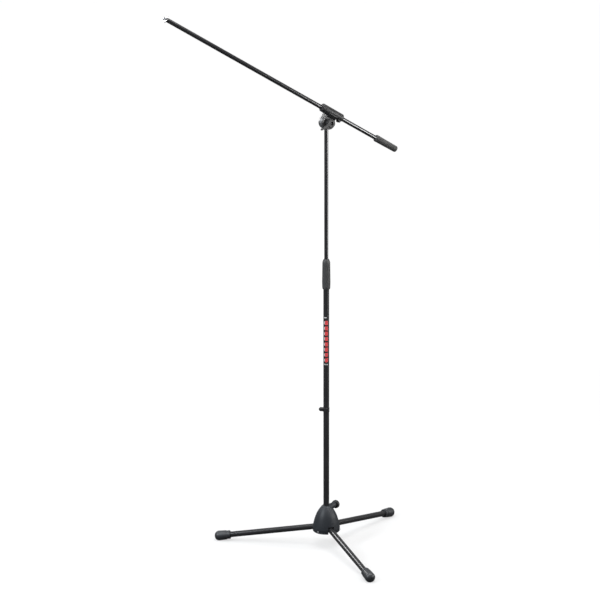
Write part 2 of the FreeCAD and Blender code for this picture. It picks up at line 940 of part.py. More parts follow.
# ---------------------------------------------------------------- swivel, axis along Y
bolt_hole_r = s.bolt_r + s.running
socket = turned(
    "swivel_socket",
    [
        (bolt_hole_r, s.swivel_near),
        (s.swivel_r - s.edge, s.swivel_near),
        (s.swivel_r, s.swivel_near + s.edge),
        (s.swivel_r, s.swivel_far - s.edge),
        (s.swivel_r - s.edge, s.swivel_far),
        (bolt_hole_r, s.swivel_far),
    ],
    "V_Axis",
    "XY_Plane",
)
seat = circle(
    socket, "tube_seat_ring", 0, 0, s.upper_r + s.snug, "XY_Plane", (0, 0, -s.tube_seat)
)
cut(socket, "tube_seat_hole", seat, s.swivel_r)
on_column(socket, s.hinge_z)



def tongue_outline(body, name, radius, top, near):
    """A round plate that widens into a straight tongue towards the boom."""
    shoulder_x = radius * cosine(s.cheek_shoulder)
    return outline(
        body,
        name,
        [
            (-radius, 0, radius),
            (-radius, top),
            (shoulder_x, top),
            (shoulder_x, radius * sine(s.cheek_shoulder)),
            (0, -radius, radius),
        ],
        "XZ_Plane",
        (0, 0, near),
    )


backplate_near = s.swivel_far + s.snug
backplate_back = s.backplate_far - s.backplate_boss_h
backplate = new_body("swivel_backplate")
plate = tongue_outline(
    backplate, "plate_shape", s.backplate_r, s.backplate_top, -backplate_back
)
pad(backplate, "plate", plate, backplate_back - backplate_near)
plate_boss = circle(
    backplate, "plate_boss_ring", 0, 0, s.backplate_boss_r, "XZ_Plane", (0, 0, -s.backplate_far)
)
pad(backplate, "plate_boss", plate_boss, s.backplate_far - backplate_near)
plate_hole = circle(backplate, "plate_hole_ring", 0, 0, bolt_hole_r)
cut(backplate, "plate_hole", plate_hole, s.sleeve_rear * 2, both_ways=True)
place(backplate, s.column_x, s.column_y, s.hinge_z, 0, s.boom_tilt)

friction_disc = turned(
    "swivel_friction_disc",
    [
        (bolt_hole_r, s.disc_near),
        (s.disc_r - s.edge / 2, s.disc_near),
        (s.disc_r, s.disc_near + s.edge / 2),
        (s.disc_r, s.swivel_near - s.snug),
        (bolt_hole_r, s.swivel_near - s.snug),
    ],
    "V_Axis",
    "XY_Plane",
)
on_column(friction_disc, s.hinge_z)

head_near = s.backplate_far + s.snug
crown_squares = s.bolt_head_r * s.bolt_head_r + s.bolt_crown * s.bolt_crown
crown_radius = crown_squares / (s.bolt_crown * 2)
bolt = turned(
    "swivel_bolt",
    [
        (0, s.bolt_end),
        (s.bolt_r - s.edge, s.bolt_end),
        (s.bolt_r, s.bolt_end + s.edge),
        (s.bolt_r, head_near),
        (s.bolt_head_r, head_near),
        (s.bolt_head_r, head_near + s.bolt_head_rim),
        (0, head_near + s.bolt_head_rim + s.bolt_crown, -crown_radius),
    ],
    "V_Axis",
    "XY_Plane",
)
on_column(bolt, s.hinge_z)

# ---------------------------------------------------------------- tilting clamp
groove_front = s.sleeve_front + s.sleeve_ring_w
groove_rear = s.sleeve_rear - s.sleeve_ring_w
clamp = new_body("boom_clamp")
sleeve = outline(
    clamp,
    "sleeve_shape",
    [
        (s.sleeve_front, 0),
        (s.sleeve_front, s.sleeve_end_r),
        (s.sleeve_front + s.sleeve_end_round, s.sleeve_front_r, s.sleeve_end_bow),
        (groove_front, s.sleeve_front_r),
        (groove_front + s.sleeve_groove, s.sleeve_front_r - s.sleeve_groove),
        (groove_front + s.sleeve_groove_w, s.sleeve_front_r - s.sleeve_groove),
        (groove_front + s.sleeve_groove_w + s.sleeve_groove, s.sleeve_front_r),
        (groove_rear - s.sleeve_groove_w - s.sleeve_groove, s.sleeve_rear_r),
        (groove_rear - s.sleeve_groove_w, s.sleeve_rear_r - s.sleeve_groove),
        (groove_rear - s.sleeve_groove, s.sleeve_rear_r - s.sleeve_groove),
        (groove_rear, s.sleeve_rear_r),
        (s.sleeve_rear - s.sleeve_end_round, s.sleeve_rear_r),
        (s.sleeve_rear, s.sleeve_end_r - s.edge, s.sleeve_end_bow),
        (s.sleeve_rear, 0),
    ],
    "XZ_Plane",
    (0, s.boom_rise + s.sleeve_offset, -s.boom_y),
)
revolve(clamp, "sleeve", sleeve, "H_Axis")
cheek = tongue_outline(clamp, "cheek_shape", s.cheek_r, s.cheek_top, -s.cheek_far)
pad(clamp, "cheeks", cheek, s.cheek_far - s.cheek_near)
saddle_front_x = s.saddle_r * cosine(s.saddle_front)
saddle_rear_x = s.saddle_r * cosine(s.saddle_rear)
saddle = outline(
    clamp,
    "saddle_shape",
    [
        (-saddle_front_x, s.saddle_r * sine(s.saddle_front), -s.saddle_r),
        (-saddle_front_x, s.saddle_top),
        (saddle_rear_x, s.saddle_top),
        (saddle_rear_x, s.saddle_r * sine(s.saddle_rear)),
    ],
    "XZ_Plane",
    (0, 0, -s.swivel_far),
)
pad(clamp, "saddle", saddle, s.swivel_far - s.cheek_far + s.edge)
web = outline(
    clamp,
    "web_shape",
    [
        (s.cheek_near + s.edge, s.web_foot),
        (s.cheek_near + s.edge, s.boom_rise),
        (s.web_near, s.boom_rise),
        (s.web_near, s.web_shoulder),
    ],
    "YZ_Plane",
    (0, 0, s.web_front),
)
pad(clamp, "web", web, s.web_length)
nose = outline(
    clamp,
    "nose_shape",
    [
        (0, s.cheek_near + s.edge),
        (0, s.nose_near),
        (s.nose_r, s.nose_near),
        (s.nose_root_r, s.cheek_near + s.edge),
    ],
    "XY_Plane",
)
revolve(clamp, "nose", nose, "V_Axis")
lug = circle(clamp, "lug_ring", s.lug_x, s.lug_z, s.lug_r, "XZ_Plane", (0, 0, -s.cheek_far))
pad(clamp, "lug", lug, s.cheek_far - s.lug_near)
boom_bore = circle(
    clamp, "boom_bore_ring", s.boom_y, s.boom_rise, s.liner_r + s.running, "YZ_Plane"
)
cut(clamp, "boom_bore", boom_bore, s.sleeve_rear * 3, both_ways=True)
slit = outline(
    clamp,
    "slit_shape",
    rectangle(
        s.boom_y - s.slit_w / 2,
        s.boom_y + s.slit_w / 2,
        -s.cheek_r * 2,
        s.boom_rise,
    ),
    "YZ_Plane",
)
cut(clamp, "slit", slit, s.sleeve_rear * 3, both_ways=True)
bolt_ring = circle(clamp, "clamp_bolt_ring", 0, 0, bolt_hole_r)
cut(clamp, "clamp_bolt_hole", bolt_ring, s.sleeve_rear * 2, both_ways=True)
lug_hole = circle(clamp, "lug_hole_ring", s.lug_x, s.lug_z, s.lug_screw_r + s.running)
cut(clamp, "lug_hole", lug_hole, s.sleeve_rear * 2, both_ways=True)
place(clamp, s.column_x, s.column_y, s.hinge_z, 0, s.boom_tilt)

lug_screw = turned(
    "clamp_screw",
    [
        (0, s.cheek_far - s.edge),
        (s.lug_screw_r, s.cheek_far - s.edge),
        (s.lug_screw_r, s.lug_near - s.snug),
        (s.lug_head_r, s.lug_near - s.snug),
        (s.lug_head_r, s.lug_near - s.lug_head_h + s.edge),
        (s.lug_head_r - s.edge, s.lug_near - s.lug_head_h),
        (0, s.lug_near - s.lug_head_h),
    ],
    "V_Axis",
    "XY_Plane",
)
lug_out_x = s.lug_x * cosine(s.boom_tilt) + s.lug_z * sine(s.boom_tilt)
lug_out_z = s.lug_z * cosine(s.boom_tilt) - s.lug_x * sine(s.boom_tilt)
place(
    lug_screw,
    s.column_x + lug_out_x,
    s.column_y,
    s.hinge_z + lug_out_z,
    0,
    s.boom_tilt,
)

lever = new_body("swivel_lever")
lever_arm = outline(
    lever,
    "lever_arm_shape",
    [
        (0, s.lever_root_half),
        (0, -s.lever_root_half),
        (-s.lever_length, -s.lever_tip_half),
        (-s.lever_length, s.lever_tip_half, s.lever_tip_bow),
    ],
    "XZ_Plane",
    (0, 0, -s.lever_arm_far),
)
pad(lever, "lever_arm", lever_arm, s.lever_arm_far - s.lever_arm_near)
lever_ring = outline(
    lever,
    "lever_ring_shape",
    [
        (0, s.lever_far),
        (s.lever_ring_r - s.edge * 2, s.lever_far),
        (s.lever_ring_r, s.lever_far - s.edge * 2),
        (s.lever_ring_r, s.lever_near + s.edge * 2),
        (s.lever_ring_r - s.edge * 3, s.lever_near),
        (0, s.lever_near),
    ],
    "XY_Plane",
)
revolve(lever, "lever_ring", lever_ring, "V_Axis")
well = circle(
    lever,
    "lever_well_ring",
    0,
    0,
    s.lever_well_r,
    "XZ_Plane",
    (0, 0, -s.lever_near - s.lever_well_depth),
)
cut(lever, "lever_well", well, s.lever_well_depth * 2, ahead=True)
lever_bore = circle(lever, "lever_bore_ring", 0, 0, bolt_hole_r)
cut(lever, "lever_bore", lever_bore, s.sleeve_rear * 2, both_ways=True)
place(lever, s.column_x, s.column_y, s.hinge_z, 0, -s.lever_heading)

# ---------------------------------------------------------------- boom
boom_x = s.column_x + s.boom_rise * sine(s.boom_tilt)
boom_y = s.column_y + s.boom_y
boom_z = s.hinge_z + s.boom_rise * cosine(s.boom_tilt)


def on_boom(body):
    place(body, boom_x, boom_y, boom_z, 0, s.boom_tilt)


boom_inner_r = s.boom_r - s.boom_wall
boom_tube = turned(
    "boom_tube",
    [
        (s.boom_tip, boom_inner_r),
        (s.boom_tip, s.boom_r),
        (s.boom_tail, s.boom_r),
        (s.boom_tail, boom_inner_r),
    ],
    "H_Axis",
)
on_boom(boom_tube)

liner_front = s.sleeve_front - s.gap
liner_rear = s.sleeve_rear + s.gap
liner = turned(
    "clamp_liner",
    [
        (liner_front - s.liner_flange_h, s.boom_r + s.running),
        (liner_front - s.liner_flange_h, s.liner_flange_r - s.edge),
        (liner_front, s.liner_flange_r),
        (liner_front, s.liner_r),
        (liner_rear, s.liner_r),
        (liner_rear, s.liner_flange_r - s.edge),
        (liner_rear + s.liner_flange_h, s.liner_flange_r - s.edge * 2),
        (liner_rear + s.liner_flange_h, s.boom_r + s.running),
    ],
    "H_Axis",
)
liner_slit = outline(
    liner,
    "liner_slit_shape",
    rectangle(
        s.sleeve_front * 2,
        s.sleeve_rear * 2,
        -s.liner_slit_w / 2,
        s.liner_slit_w / 2,
    ),
    "XY_Plane",
)
cut(liner, "liner_slit", liner_slit, s.liner_flange_r * 2)
on_boom(liner)

handle = turned(
    "boom_handle",
    [
        (s.handle_start, s.boom_r + s.snug),
        (s.handle_start, s.handle_front_r - s.handle_round),
        (s.handle_start + s.handle_round, s.handle_front_r, s.handle_round),
        (s.handle_end - s.handle_round, s.handle_rear_r),
        (s.handle_end, s.handle_rear_r - s.handle_round, s.handle_round),
        (s.handle_end, 0),
        (s.boom_tail + s.snug, 0),
        (s.boom_tail + s.snug, s.boom_r + s.snug),
    ],
    "H_Axis",
)
on_boom(handle)

lock_ring_end = s.lock_ring_start - s.lock_ring_h
thread_start = lock_ring_end - s.gap
insert = turned(
    "mic_thread_insert",
    [
        (s.boom_tip + s.insert_depth, 0),
        (s.boom_tip + s.insert_depth, boom_inner_r - s.snug),
        (s.boom_tip - s.snug, boom_inner_r - s.snug),
        (s.boom_tip - s.snug, s.boom_r - s.edge / 2),
        (s.boom_tip - s.insert_collar, s.boom_r - s.edge / 2),
        (s.boom_tip - s.insert_collar, s.thread_neck_r),
        (thread_start, s.thread_neck_r),
        (thread_start, s.thread_r),
        (s.thread_end + s.edge * 2, s.thread_r),
        (s.thread_end, s.thread_r - s.edge * 2),
        (s.thread_end, 0),
    ],
    "H_Axis",
)
on_boom(insert)

lock_ring = turned(
    "mic_lock_ring",
    [
        (s.lock_ring_start, s.thread_neck_r + s.running),
        (s.lock_ring_start, s.lock_ring_r - s.edge),
        (s.lock_ring_start - s.edge, s.lock_ring_r),
        (lock_ring_end + s.edge, s.lock_ring_r),
        (lock_ring_end, s.lock_ring_r - s.edge),
        (lock_ring_end, s.thread_neck_r + s.running),
    ],
    "H_Axis",
)
lock_notch = circle(
    lock_ring,
    "lock_notch_ring",
    s.lock_ring_r + s.lock_ring_notch_r / 2,
    0,
    s.lock_ring_notch_r,
    "YZ_Plane",
    (0, 0, lock_ring_end),
)
lock_notch_cut = cut(
    lock_ring, "lock_notch", lock_notch, s.lock_ring_h * 4, both_ways=True
)
around(lock_ring, "lock_notch_set", [lock_notch_cut], s.lock_ring_notches, "X_Axis")
on_boom(lock_ring)

# ---------------------------------------------------------------- check and write
doc.recompute()
for item in doc.Objects:
    if "Invalid" in item.State or "Error" in item.State:
        raise ValueError(f"{item.Name} did not build: {item.State}")

os.makedirs("parts", exist_ok=True)
for body in BODIES:
    shape = body.Shape
    if shape.isNull() or not shape.isValid() or not shape.Solids:
        raise ValueError(f"{body.Label} has no sound solid")
    shape.exportStep(f"parts/{body.Label}.step")
    box = shape.BoundBox
    low = f"{box.XMin:.1f} {box.YMin:.1f} {box.ZMin:.1f}"
    high = f"{box.XMax:.1f} {box.YMax:.1f} {box.ZMax:.1f}"
    print(f"{body.Label}: {len(shape.Solids)} solid(s), from {low} to {high}")
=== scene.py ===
"""Looks of the boom microphone stand: finishes for every CAD part, fine pieces, studio and camera."""

import json
import math

import bpy
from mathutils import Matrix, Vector


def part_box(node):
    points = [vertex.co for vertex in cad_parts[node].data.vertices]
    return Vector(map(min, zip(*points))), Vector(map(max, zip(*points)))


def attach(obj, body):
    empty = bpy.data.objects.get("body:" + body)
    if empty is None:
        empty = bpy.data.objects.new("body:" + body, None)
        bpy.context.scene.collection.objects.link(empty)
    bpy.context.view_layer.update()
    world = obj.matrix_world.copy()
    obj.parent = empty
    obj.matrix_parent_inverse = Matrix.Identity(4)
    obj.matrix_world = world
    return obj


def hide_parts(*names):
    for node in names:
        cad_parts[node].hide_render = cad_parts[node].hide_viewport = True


MM = 0.001
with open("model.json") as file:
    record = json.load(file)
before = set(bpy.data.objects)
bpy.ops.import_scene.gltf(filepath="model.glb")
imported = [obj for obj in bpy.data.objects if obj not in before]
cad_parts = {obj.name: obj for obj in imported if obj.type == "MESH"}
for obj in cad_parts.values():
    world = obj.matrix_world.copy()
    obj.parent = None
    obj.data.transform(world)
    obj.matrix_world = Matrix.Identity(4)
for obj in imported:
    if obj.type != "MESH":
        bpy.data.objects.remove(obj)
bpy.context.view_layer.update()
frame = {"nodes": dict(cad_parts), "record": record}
nodes = frame["nodes"]


# ---------------------------------------------------------------- finishes
# a mix node's sockets for colours, which share their names with its other sockets
MIX_COLOURS = slice(6, 8)
MIX_RESULT = 2
BEVEL_SAMPLES = 4
# between the rounded and the true normal, on an open face and at an edge
OPEN_COSINE, EDGE_COSINE = 0.985, 0.80


class Finish:
    """A procedural material. Its patterns are made from noise in the part's own coordinates."""

    def __init__(self, name, metallic=0.0, specular=0.5):
        self.material = bpy.data.materials.new(name)
        self.material.use_nodes = True
        self.nodes = self.material.node_tree.nodes
        self.links = self.material.node_tree.links
        self.shader = self.nodes["Principled BSDF"]
        self.shader.inputs["Metallic"].default_value = metallic
        self.shader.inputs["Specular IOR Level"].default_value = specular
        self.place = self.nodes.new("ShaderNodeTexCoord").outputs["Object"]
        self.relief = None

    def stretched(self, stretch=(1, 1, 1)):
        mapping = self.nodes.new("ShaderNodeMapping")
        mapping.inputs["Scale"].default_value = stretch
        self.links.new(self.place, mapping.inputs["Vector"])
        return mapping.outputs["Vector"]

    def noise(self, size, detail, contrast=0.55, stretch=(1, 1, 1)):
        """Noise whose blotches are about size metres across."""
        node = self.nodes.new("ShaderNodeTexNoise")
        node.inputs["Scale"].default_value = 1 / size
        node.inputs["Detail"].default_value = detail
        node.inputs["Roughness"].default_value = contrast
        self.links.new(self.stretched(stretch), node.inputs["Vector"])
        return node.outputs["Fac"]

    def cells(self, size):
        """Grains about size metres across."""
        node = self.nodes.new("ShaderNodeTexVoronoi")
        node.inputs["Scale"].default_value = 1 / size
        self.links.new(self.stretched(), node.inputs["Vector"])
        return node.outputs["Distance"]

    def spread(self, value, low, high, new_low, new_high):
        """The value with low to high stretched over new_low to new_high."""
        node = self.nodes.new("ShaderNodeMapRange")
        for socket, number in zip(node.inputs[1:5], (low, high, new_low, new_high)):
            socket.default_value = number
        self.links.new(value, node.inputs[0])
        return node.outputs[0]

    def maths(self, operation, first, second):
        node = self.nodes.new("ShaderNodeMath")
        node.operation = operation
        for socket, value in zip(node.inputs, (first, second)):
            if isinstance(value, (int, float)):
                socket.default_value = value
            else:
                self.links.new(value, socket)
        return node.outputs[0]

    def mixed(self, share, first, second):
        """A colour between two, which are colours or sockets."""
        node = self.nodes.new("ShaderNodeMix")
        node.data_type = "RGBA"
        self.links.new(share, node.inputs[0])
        for socket, colour in zip(node.inputs[MIX_COLOURS], (first, second)):
            if isinstance(colour, tuple):
                socket.default_value = (*colour, 1.0)
            else:
                self.links.new(colour, socket)
        return node.outputs[MIX_RESULT]

    def edges(self, radius):
        """1 along the part's edges and 0 on its open faces."""
        bevel = self.nodes.new("ShaderNodeBevel")
        bevel.samples = BEVEL_SAMPLES
        bevel.inputs["Radius"].default_value = radius
        shape = self.nodes.new("ShaderNodeNewGeometry")
        turn = self.nodes.new("ShaderNodeVectorMath")
        turn.operation = "DOT_PRODUCT"
        self.links.new(bevel.outputs["Normal"], turn.inputs[0])
        self.links.new(shape.outputs["Normal"], turn.inputs[1])
        return self.spread(turn.outputs["Value"], OPEN_COSINE, EDGE_COSINE, 0.0, 1.0)

    def colour(self, value):
        self.links.new(value, self.shader.inputs["Base Color"])

    def roughness(self, value):
        self.links.new(value, self.shader.inputs["Roughness"])

    def bump(self, height, depth):
        """Relief of depth metres, on top of what earlier calls gave."""
        node = self.nodes.new("ShaderNodeBump")
        node.inputs["Distance"].default_value = depth
        self.links.new(height, node.inputs["Height"])
        if self.relief is not None:
            self.links.new(self.relief, node.inputs["Normal"])
        self.relief = node.outputs["Normal"]
        self.links.new(self.relief, self.shader.inputs["Normal"])


def paint(name, dark, light, smooth, rough, peel, specular):
    """Powder coat: orange peel, cloudy colour, fine dust, and edges rubbed a little lighter."""
    finish = Finish(name, specular=specular)
    clouds = finish.noise(0.09, 4)
    dust = finish.spread(finish.noise(0.0015, 6, 0.7), 0.58, 0.85, 0.0, 0.3)
    wear = finish.maths("MULTIPLY", finish.edges(0.0007), finish.noise(0.003, 4))
    body = finish.mixed(finish.spread(clouds, 0.35, 0.65, 0, 1), dark, light)
    dusty = finish.mixed(dust, body, tuple(channel * 1.5 + 0.003 for channel in light))
    finish.colour(finish.mixed(finish.maths("MULTIPLY", wear, 0.7), dusty, (0.16, 0.16, 0.165)))
    streaks = finish.noise(0.006, 5, 0.6, (1, 1, 0.08))
    finish.roughness(finish.spread(streaks, 0.3, 0.7, smooth, rough))
    finish.bump(finish.noise(0.0016, 2, 0.4), peel)
    return finish.material


def moulded(name, dark, light, smooth, rough, grain, depth, specular=0.22):
    """Moulded plastic or rubber: a spark-eroded grain, flow marks and paler rubbed edges."""
    finish = Finish(name, specular=specular)
    flow = finish.noise(0.03, 3, 0.5, (1, 1, 0.5))
    scuff = finish.spread(finish.noise(0.004, 7, 0.75), 0.56, 0.80, 0.0, 0.45)
    body = finish.mixed(finish.spread(flow, 0.3, 0.7, 0, 1), dark, light)
    scuffed = finish.mixed(scuff, body, tuple(channel * 1.5 + 0.006 for channel in light))
    pale = tuple(channel * 2.0 + 0.03 for channel in light)
    wear = finish.maths("MULTIPLY", finish.edges(0.0009), finish.noise(0.004, 4))
    finish.colour(finish.mixed(wear, scuffed, pale))
    finish.roughness(finish.spread(finish.noise(0.012, 5), 0.3, 0.7, smooth, rough))
    finish.bump(finish.cells(grain), depth)
    finish.bump(finish.noise(grain * 6, 3), depth * 0.8)
    return finish.material


def metal(name, dark, light, smooth, rough, brush=(1, 1, 1), depth=0.00002):
    """Bare or plated metal: brushed or cast surface, darker stains and bright rubbed edges."""
    finish = Finish(name, metallic=1.0)
    lines = finish.noise(0.0012, 4, 0.6, brush)
    stain = finish.spread(finish.noise(0.008, 6, 0.65), 0.48, 0.75, 0.0, 0.7)
    body = finish.mixed(finish.spread(lines, 0.3, 0.7, 0, 1), dark, light)
    stained = finish.mixed(stain, body, tuple(channel * 0.55 for channel in dark))
    bright = tuple(min(channel * 1.25, 0.95) for channel in light)
    finish.colour(finish.mixed(finish.edges(0.0006), stained, bright))
    finish.roughness(finish.spread(finish.noise(0.004, 5), 0.3, 0.7, smooth, rough))
    finish.bump(lines, depth)
    return finish.material


# each paint: darkest and lightest colour, smoothest and roughest, depth of orange peel, specular
gloss_paint = paint(
    "gloss_black_paint", (0.009, 0.009, 0.010), (0.013, 0.013, 0.014), 0.22, 0.25, 0.000008, 0.42
)
satin_paint = paint(
    "satin_black_paint", (0.011, 0.011, 0.012), (0.016, 0.016, 0.017), 0.31, 0.36, 0.00001, 0.36
)
hub_paint = paint(
    "hub_coat", (0.013, 0.015, 0.0185), (0.019, 0.022, 0.026), 0.42, 0.52, 0.00004, 0.24
)
# each moulding: as the paints, with the width of its grain before the depth
knob_plastic = moulded(
    "knob_plastic", (0.006, 0.006, 0.007), (0.012, 0.012, 0.013), 0.20, 0.34, 0.0008, 0.00001
)
grip_plastic = moulded(
    "grip_plastic", (0.026, 0.026, 0.027), (0.042, 0.042, 0.043), 0.50, 0.62, 0.0009, 0.00004
)
clamp_plastic = moulded(
    "clamp_plastic", (0.012, 0.012, 0.0125), (0.021, 0.0205, 0.0205), 0.44, 0.54, 0.0010, 0.00002, 0.18
)
clip_plastic = moulded(
    "clip_plastic", (0.010, 0.010, 0.011), (0.018, 0.018, 0.019), 0.34, 0.48, 0.0009, 0.00003
)
foot_rubber = moulded(
    "foot_rubber", (0.012, 0.013, 0.015), (0.020, 0.022, 0.025), 0.38, 0.50, 0.0011, 0.00004, 0.42
)
handle_rubber = moulded(
    "handle_rubber", (0.034, 0.034, 0.034), (0.050, 0.050, 0.049), 0.66, 0.80, 0.0013, 0.00007, 0.15
)
nylon = moulded("natural_nylon", (0.48, 0.47, 0.43), (0.58, 0.57, 0.53), 0.38, 0.5, 0.0012, 0.00002)
# each metal: as the paints up to the roughest, then the stretch of its brush marks
cast_zinc = metal("cast_zinc", (0.11, 0.113, 0.118), (0.17, 0.174, 0.18), 0.50, 0.64, depth=0.00004)
bright_nickel = metal("bright_nickel", (0.50, 0.50, 0.51), (0.66, 0.66, 0.67), 0.16, 0.28)
thread_steel = metal("thread_steel", (0.20, 0.20, 0.205), (0.30, 0.30, 0.305), 0.34, 0.48)
burnished = metal("burnished_steel", (0.016, 0.016, 0.017), (0.030, 0.030, 0.031), 0.50, 0.62)
zinc_plate = metal("zinc_plate", (0.42, 0.43, 0.45), (0.58, 0.59, 0.60), 0.22, 0.38, (1, 1, 0.1))

FINISHES = {
    "hub_bell": hub_paint,
    "hub_base_spider": hub_paint,
    "hub_rim_screws": zinc_plate,
    "leg_pivot_pins": zinc_plate,
    "hub_knob": knob_plastic,
    "hub_knob_stud": zinc_plate,
    "hub_pressure_pad": nylon,
    "leg_knuckle": cast_zinc,
    "leg_tube": gloss_paint,
    "leg_foot": foot_rubber,
    "lower_tube": satin_paint,
    "lower_tube_plug": foot_rubber,
    "cable_clip": clip_plastic,
    "clutch_ferrule": zinc_plate,
    "clutch_collet": nylon,
    "clutch_grip": grip_plastic,
    "upper_tube": gloss_paint,
    "upper_tube_guide": nylon,
    "upper_tube_plug": nylon,
    "swivel_socket": cast_zinc,
    "swivel_backplate": satin_paint,
    "swivel_friction_disc": burnished,
    "swivel_bolt": burnished,
    "boom_clamp": clamp_plastic,
    "clamp_screw": burnished,
    "swivel_lever": clamp_plastic,
    "boom_tube": gloss_paint,
    "clamp_liner": clamp_plastic,
    "boom_handle": handle_rubber,
    "mic_thread_insert": bright_nickel,
    "mic_lock_ring": bright_nickel,
}
for name, node in nodes.items():
    finish = FINISHES[name if name in FINISHES else name.rsplit("_", 1)[0]]
    if not node.material_slots:
        node.data.materials.append(finish)
    for slot in node.material_slots:
        slot.material = finish


# ---------------------------------------------------------------- mesh helpers
def new_piece(name, points, faces, material, body, slot, sharp):
    """A piece that rides on a body. Edges that turn more than sharp degrees stay crisp."""
    mesh = bpy.data.meshes.new(name)
    mesh.from_pydata([tuple(point) for point in points], [], faces)
    mesh.materials.append(material)
    mesh.shade_smooth()
    mesh.set_sharp_from_angle(angle=math.radians(sharp))
    piece = bpy.data.objects.new(name, mesh)
    bpy.context.scene.collection.objects.link(piece)
    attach(piece, body)
    return piece


# ---------------------------------------------------------------- threaded stud at the boom's tip
mounts = {mount["name"]: mount for mount in frame["record"]["mounts"]}
thread = mounts["mic_thread"]
outward = Vector(thread["axis"])
side = Vector((0, 1, 0))
above = outward.cross(side).normalized()
thread_middle = Vector(thread["pos_m"])
thread_r = thread["dims"]["r_mm"] * MM
thread_half = thread["dims"]["length_mm"] * MM / 2

PITCH = 25.4 / 16 * MM
GROOVE = 0.85 * MM
GROOVE_NARROWING = 2.6
RUN_OUT = 0.8 * MM
LEAST_GROOVE = 0.15
TIP_LENGTH = 0.9 * MM
TIP_STEP = 1.0 * MM
AROUND = 64
THREAD_ROWS = 56
NECK_R = 4.4 * MM
COLLAR_R = 6.45 * MM
COLLAR_W = 1.9 * MM
COLLAR_EDGE = 0.2 * MM
RING_SEAT = 4.0 * MM


def thread_radius(along, angle):
    """The stud's radius where a groove winds round it once per pitch and runs out at both ends."""
    turn = (along / PITCH + angle / (2 * math.pi)) % 1.0
    groove = 1 - min(1.0, abs(turn - 0.5) * GROOVE_NARROWING)
    to_end = min(thread_half - along, thread_half + along) / RUN_OUT
    return thread_r - GROOVE * groove * max(LEAST_GROOVE, min(1.0, to_end))


def threaded_stud():
    """The collar, the neck under the lock ring and the thread, as rings of points along the stud."""
    rings = [
        (-thread_half - RING_SEAT - COLLAR_W, lambda angle: COLLAR_R),
        (-thread_half - RING_SEAT - COLLAR_EDGE, lambda angle: COLLAR_R),
        (-thread_half - RING_SEAT, lambda angle: COLLAR_R - COLLAR_EDGE),
        (-thread_half - RING_SEAT, lambda angle: NECK_R),
        (-thread_half, lambda angle: NECK_R),
    ]
    for row in range(THREAD_ROWS + 1):
        along = -thread_half + 2 * thread_half * row / THREAD_ROWS
        rings.append((along, lambda angle, along=along: thread_radius(along, angle)))
    rings.append((thread_half + TIP_LENGTH, lambda angle: thread_r - TIP_STEP))
    points, faces = [], []
    for along, radius_at in rings:
        for step in range(AROUND):
            angle = 2 * math.pi * step / AROUND
            spoke = side * math.cos(angle) + above * math.sin(angle)
            points.append(thread_middle + outward * along + spoke * radius_at(angle))
    for row in range(len(rings) - 1):
        for step in range(AROUND):
            after = (step + 1) % AROUND
            low, high = row * AROUND, (row + 1) * AROUND
            faces.append((low + after, low + step, high + step, high + after))
    faces.append(tuple(range(AROUND)))
    faces.append(tuple(reversed(range((len(rings) - 1) * AROUND, len(rings) * AROUND))))
    return points, faces


stud = new_piece("threaded_stud", *threaded_stud(), thread_steel, "boom", "screw_steel", 50)
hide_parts("mic_thread_insert")


# ---------------------------------------------------------------- printed bars on the lower tube
def ink(name, dark, light):
    finish = Finish(name, specular=0.4)
    patches = finish.noise(0.004, 5, 0.7)
    finish.colour(finish.mixed(finish.spread(patches, 0.35, 0.7, 0, 1), dark, light))
    finish.roughness(finish.spread(finish.noise(0.002, 4), 0.3, 0.7, 0.38, 0.55))
    finish.bump(finish.noise(0.0008, 3), 0.00001)
    return finish.material


red_ink = ink("red_ink", (0.46, 0.030, 0.034), (0.66, 0.075, 0.078))
pale_ink = ink("pale_ink", (0.34, 0.34, 0.34), (0.50, 0.49, 0.48))

tube_low, tube_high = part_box("lower_tube")
tube_x, tube_y = (tube_low.x + tube_high.x) / 2, (tube_low.y + tube_high.y) / 2
tube_r = (tube_high.x - tube_low.x) / 2
INK = 0.08 * MM
CORNER_STEPS = 6
FLAT_STEPS = 8


def bar(heading, half_angle, low, high, corner):
    """A thin bar with rounded corners that wraps round the lower tube, as (points, faces)."""
    radius = tube_r + INK
    half_w = half_angle * radius
    middle, half_h = (low + high) / 2, (high - low) / 2
    stations = []
    for step in range(CORNER_STEPS + 1):
        angle = math.pi / 2 * step / CORNER_STEPS
        across = half_w - corner + corner * math.sin(angle)
        stations.append((across, half_h - corner + corner * math.cos(angle)))
    flat = half_w - corner
    columns = [(-across, tall) for across, tall in reversed(stations)]
    columns += [(-flat + 2 * flat * step / FLAT_STEPS, half_h) for step in range(1, FLAT_STEPS)]
    columns += stations
    points, faces = [], []
    for reach in (radius, tube_r - INK):
        for across, tall in columns:
            angle = heading + across / radius
            for height in (middle - tall, middle + tall):
                points.append((tube_x + reach * math.cos(angle), tube_y + reach * math.sin(angle), height))
    inner = 2 * len(columns)
    for index in range(len(columns) - 1):
        a, b = 2 * index, 2 * index + 2
        faces.append((a, b, b + 1, a + 1))
        faces.append((a + inner, b + inner, b, a))
        faces.append((a + 1, b + 1, b + 1 + inner, a + 1 + inner))
    return points, faces


def printed(name, bars, material):
    """One piece of several bars, each given as heading, half angle, foot, top and corner radius."""
    points, faces = [], []
    for heading, half_angle, foot, top, corner in bars:
        more, sides = bar(
            math.radians(heading), math.radians(half_angle), foot * MM, top * MM, corner * MM
        )
        start = len(points)
        points += more
        faces += [tuple(start + index for index in face) for face in sides]
    return new_piece(name, points, faces, material, "column", "tube_paint", 60)


